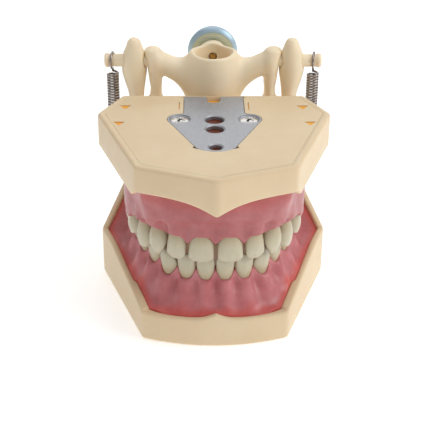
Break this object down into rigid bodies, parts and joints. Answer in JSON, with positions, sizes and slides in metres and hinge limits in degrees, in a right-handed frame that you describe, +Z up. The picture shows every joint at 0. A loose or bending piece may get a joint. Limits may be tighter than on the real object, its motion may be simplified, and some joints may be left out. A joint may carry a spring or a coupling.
{
  "type": "typodont model",
  "caption": "Pair of practice dental jaws with separate teeth and soft gums, hinged on a plastic articulator with springs, mounting plates and a pole clamp.",
  "frame": {"origin": "in the plane of the lower base's underside, on the centre plane, under the widest line of the two bases", "axes": "+Z up when the model stands on its lower base, -Y towards the front teeth, +X towards the side named right"},
  "size_m": [0.08, 0.0932, 0.0804],
  "materials": {
    "cream_plastic": "moulded satin",
    "gum": "soft satin",
    "enamel": "polished resin",
    "steel": "satin",
    "spring_steel": "drawn wire",
    "zinc": "blue zinc plate, turned",
    "brass": "turned"
  },
  "bodies": {
    "lower_jaw": {"lower_base": "cream_plastic", "lower_base_cover": "cream_plastic", "lower_mounting_plate": "steel", "lower_plate_screw_right": "steel", "lower_plate_screw_left": "steel", "lower_gum": "gum", "lower_central_incisor_right": "enamel", "lower_central_incisor_left": "enamel", "lower_lateral_incisor_right": "enamel", "lower_lateral_incisor_left": "enamel", "lower_canine_right": "enamel", "lower_canine_left": "enamel", "lower_first_premolar_right": "enamel", "lower_first_premolar_left": "enamel", "lower_second_premolar_right": "enamel", "lower_second_premolar_left": "enamel", "lower_first_molar_right": "enamel", "lower_first_molar_left": "enamel", "lower_second_molar_right": "enamel", "lower_second_molar_left": "enamel", "lower_third_molar_right": "enamel", "lower_third_molar_left": "enamel", "lower_frame": "cream_plastic", "lower_frame_screw_right": "steel", "lower_frame_screw_left": "steel", "spring_right": "spring_steel", "spring_left": "spring_steel"},
    "upper_jaw": {"upper_base": "cream_plastic", "upper_base_cover": "cream_plastic", "upper_mounting_plate": "steel", "upper_plate_screw_right": "steel", "upper_plate_screw_left": "steel", "upper_gum": "gum", "upper_central_incisor_right": "enamel", "upper_central_incisor_left": "enamel", "upper_lateral_incisor_right": "enamel", "upper_lateral_incisor_left": "enamel", "upper_canine_right": "enamel", "upper_canine_left": "enamel", "upper_first_premolar_right": "enamel", "upper_first_premolar_left": "enamel", "upper_second_premolar_right": "enamel", "upper_second_premolar_left": "enamel", "upper_first_molar_right": "enamel", "upper_first_molar_left": "enamel", "upper_second_molar_right": "enamel", "upper_second_molar_left": "enamel", "upper_third_molar_right": "enamel", "upper_third_molar_left": "enamel", "upper_frame": "cream_plastic", "upper_frame_screw_right": "steel", "upper_frame_screw_left": "steel", "hinge_pin_right": "cream_plastic", "hinge_pin_left": "cream_plastic", "thread_insert": "brass"},
    "clamp_pad": {"thumb_screw_pad": "brass"},
    "thumb_screw": {"thumb_screw": "zinc"}
  },
  "joints": [
    {"name": "jaw_hinge", "type": "hinge", "parent": "lower_jaw", "child": "upper_jaw", "pos_m": [0, 0.026, 0.072], "axis": [-1, 0, 0], "range_deg": [0, 60]},
    {"name": "clamp_travel", "type": "slide", "parent": "upper_jaw", "child": "clamp_pad", "axis": [0, -1, 0], "range_m": [-0.0015, 0.001]},
    {"name": "clamp_turn", "type": "hinge", "parent": "clamp_pad", "child": "thumb_screw", "pos_m": [0, 0.0368, 0.0709], "axis": [0, -1, 0], "range_deg": [-541, 361]}
  ],
  "couplings": [
    {"joint": "clamp_turn", "follows": "clamp_travel", "rad_per_m": 6283.2}
  ]
}
